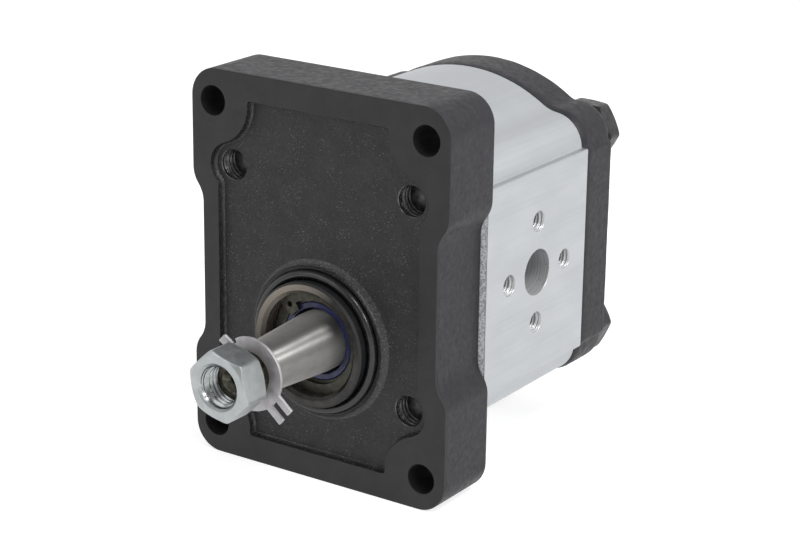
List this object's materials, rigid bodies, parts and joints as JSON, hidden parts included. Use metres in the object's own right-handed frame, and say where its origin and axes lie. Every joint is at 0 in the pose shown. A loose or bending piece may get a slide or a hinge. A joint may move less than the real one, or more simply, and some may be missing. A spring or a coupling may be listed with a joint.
{
  "type": "hydraulic gear pump",
  "caption": "External gear pump with a cast mounting flange, pilot, tapered drive shaft and flanged side ports.",
  "frame": {"origin": "on the drive shaft's axis, in the plane of the mounting face", "axes": "+Y runs from the mounting face to the rear cover, +Z points to the driven gear, +X points to the pressure port"},
  "size_m": [0.0866, 0.1425, 0.1146],
  "materials": {
    "flange_iron": "phosphated black, machined and cast areas",
    "body_aluminium": "extruded satin, machined pads",
    "cover_iron": "black, machined",
    "bolt_steel": "blackened",
    "dowel_steel": "ground",
    "black_rubber": "smooth",
    "seal_steel": "phosphated",
    "blue_rubber": "smooth, oiled",
    "spring_steel": "phosphated",
    "block_aluminium": "machined",
    "bush_bronze": "turned",
    "white_plastic": "smooth",
    "shaft_steel": "ground",
    "key_steel": "ground",
    "washer_steel": "stamped, matt zinc",
    "zinc_steel": "bright zinc"
  },
  "bodies": {
    "housing": {"front_flange": "flange_iron", "pump_body": "body_aluminium", "rear_cover": "cover_iron", "through_bolts": "bolt_steel", "spring_washers": "bolt_steel", "front_dowels": "dowel_steel", "rear_dowels": "dowel_steel", "pilot_oring": "black_rubber", "shaft_seal_case": "seal_steel", "shaft_seal_lip": "blue_rubber", "seal_garter_spring": "seal_steel", "seal_retaining_ring": "spring_steel", "front_body_seal": "black_rubber", "rear_body_seal": "black_rubber", "front_bearing_block": "block_aluminium", "rear_bearing_block": "block_aluminium", "front_drive_bush": "bush_bronze", "front_driven_bush": "bush_bronze", "rear_drive_bush": "bush_bronze", "rear_driven_bush": "bush_bronze", "front_balance_seal": "black_rubber", "rear_balance_seal": "black_rubber", "front_backup_ring": "white_plastic", "rear_backup_ring": "white_plastic"},
    "drive_shaft": {"drive_gear_shaft": "shaft_steel", "shaft_key": "key_steel", "tab_washer": "washer_steel", "shaft_nut": "zinc_steel"},
    "driven_gear": {"driven_gear_shaft": "shaft_steel"}
  },
  "joints": [
    {"name": "drive_spin", "type": "hinge", "parent": "housing", "child": "drive_shaft", "pos_m": [0, 0, 0], "axis": [0, 1, 0], "continuous": true},
    {"name": "driven_spin", "type": "hinge", "parent": "housing", "child": "driven_gear", "pos_m": [0, 0, 0.0312], "axis": [0, 1, 0], "continuous": true}
  ],
  "couplings": [
    {"joint": "driven_spin", "follows": "drive_spin", "ratio": -1}
  ]
}
